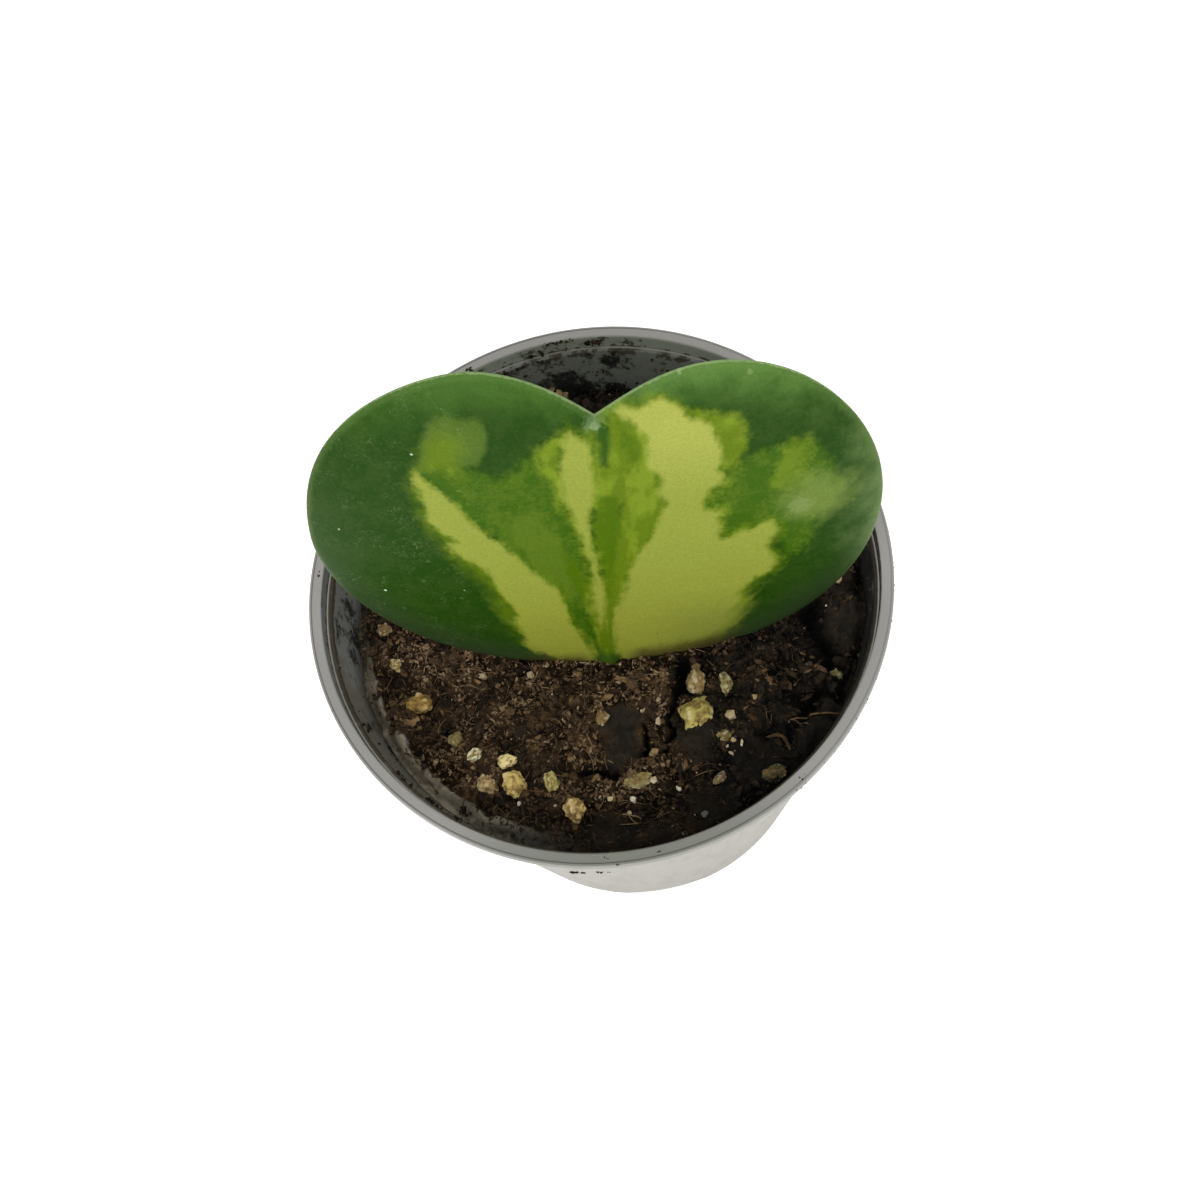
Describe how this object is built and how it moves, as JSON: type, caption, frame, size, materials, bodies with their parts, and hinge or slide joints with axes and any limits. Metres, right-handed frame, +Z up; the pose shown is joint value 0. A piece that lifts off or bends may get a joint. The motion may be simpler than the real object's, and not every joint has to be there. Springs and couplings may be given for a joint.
{
  "type": "potted hoya plant",
  "caption": "Small potted hoya: one thick variegated heart leaf standing in gritty soil in a tapered nursery pot.",
  "frame": {"origin": "centre of the pot's foot, on the surface it stands on", "axes": "+Z up along the pot's axis, the leaf's front face looks towards -Y, +X to the right as seen from the front"},
  "size_m": [0.06, 0.06, 0.0811],
  "materials": {
    "pot_plastic": "satin pale grey",
    "leaf_tissue": "waxy green with pale yellow variegation",
    "potting_soil": "rough dark brown peat and bark",
    "perlite": "rough yellow cream"
  },
  "bodies": {
    "root": {"pot": "pot_plastic", "soil": "potting_soil", "leaf": "leaf_tissue", "perlite_grain_01": "perlite", "perlite_grain_02": "perlite", "perlite_grain_03": "perlite", "perlite_grain_04": "perlite", "perlite_grain_05": "perlite", "perlite_grain_06": "perlite", "perlite_grain_07": "perlite", "perlite_grain_08": "perlite", "perlite_grain_09": "perlite", "perlite_grain_10": "perlite", "perlite_grain_11": "perlite", "perlite_grain_12": "perlite", "perlite_grain_13": "perlite", "perlite_grain_14": "perlite", "perlite_grain_15": "perlite", "perlite_grain_16": "perlite", "perlite_grain_17": "perlite", "perlite_grain_18": "perlite", "perlite_grain_19": "perlite", "perlite_grain_20": "perlite"}
  },
  "joints": []
}
